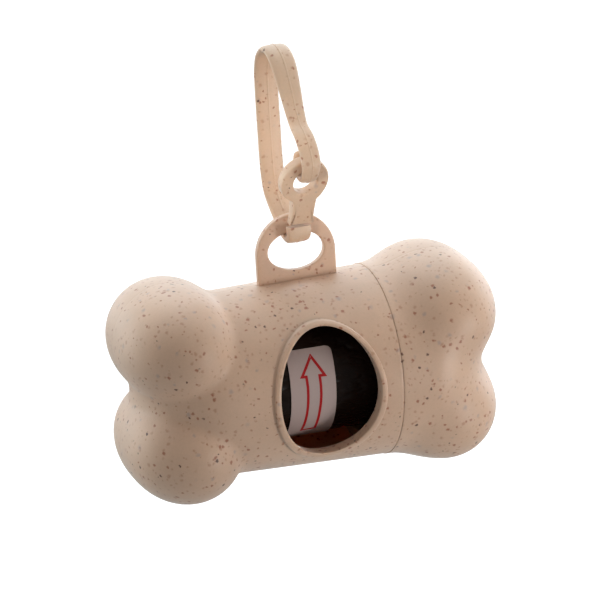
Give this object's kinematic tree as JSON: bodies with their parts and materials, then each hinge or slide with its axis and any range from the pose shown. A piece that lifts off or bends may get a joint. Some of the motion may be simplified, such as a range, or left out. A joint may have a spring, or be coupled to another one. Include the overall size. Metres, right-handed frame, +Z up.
{
  "type": "waste bag dispenser",
  "caption": "Bone-shaped screw-cap holder for a roll of waste bags, with a dispensing mouth in front, a hanging tab and a one-piece strap clip for a leash.",
  "frame": {"origin": "the place inside the top bend of the clip's strap where a leash or ring seats, from which the dispenser hangs", "axes": "+Z up when it hangs, +X along the bone towards the screw cap, -Y towards the dispensing mouth"},
  "size_m": [0.0792, 0.0401, 0.0886],
  "materials": {
    "shell_plastic": "satin moulded bioplastic, pale beige with fine plant-fibre flecks",
    "inner_plastic": "same flecked bioplastic, unpolished",
    "clip_plastic": "satin moulded bioplastic with fine flecks",
    "cardboard": "raw brown cardboard",
    "bag_film": "thin black film, glossy and creased",
    "label_paper": "matt off-white paper with a red outlined arrow"
  },
  "bodies": {
    "clip": {"clip_loop": "clip_plastic"},
    "clip_lower": {"clip_base": "clip_plastic"},
    "housing": {"body_front_shell": "shell_plastic", "body_rear_shell": "shell_plastic", "neck_ring": "inner_plastic", "end_spigot": "inner_plastic"},
    "cap_carrier": {"cap_liner": "inner_plastic"},
    "cap": {"cap_front_shell": "shell_plastic", "cap_rear_shell": "shell_plastic"},
    "roll": {"roll_core": "cardboard", "bag_roll": "bag_film", "roll_label": "label_paper"}
  },
  "joints": [
    {"name": "latch_flex", "type": "hinge", "parent": "clip", "child": "clip_lower", "pos_m": [-0.0004, 0.00463, -0.0163], "axis": [0.9962, 0.0872, 0], "range_deg": [-4, 0], "stiffness_Nm_per_rad": 0.2},
    {"name": "swing", "type": "hinge", "parent": "clip_lower", "child": "housing", "pos_m": [0.00044, -0.00498, -0.03427], "axis": [1, 0, 0], "range_deg": [-58, 22]},
    {"name": "cap_travel", "type": "slide", "parent": "housing", "child": "cap_carrier", "axis": [1, 0, 0], "range_m": [0, 0.0061]},
    {"name": "cap_turn", "type": "hinge", "parent": "cap_carrier", "child": "cap", "pos_m": [0.02544, -0.00498, -0.0641], "axis": [1, 0, 0], "range_deg": [0, 360]},
    {"name": "roll_spin", "type": "hinge", "parent": "housing", "child": "roll", "pos_m": [0.00044, -0.00498, -0.0641], "axis": [1, 0, 0], "continuous": true}
  ],
  "couplings": [
    {"joint": "cap_travel", "follows": "cap_turn", "m_per_rad": 0.00095493}
  ]
}
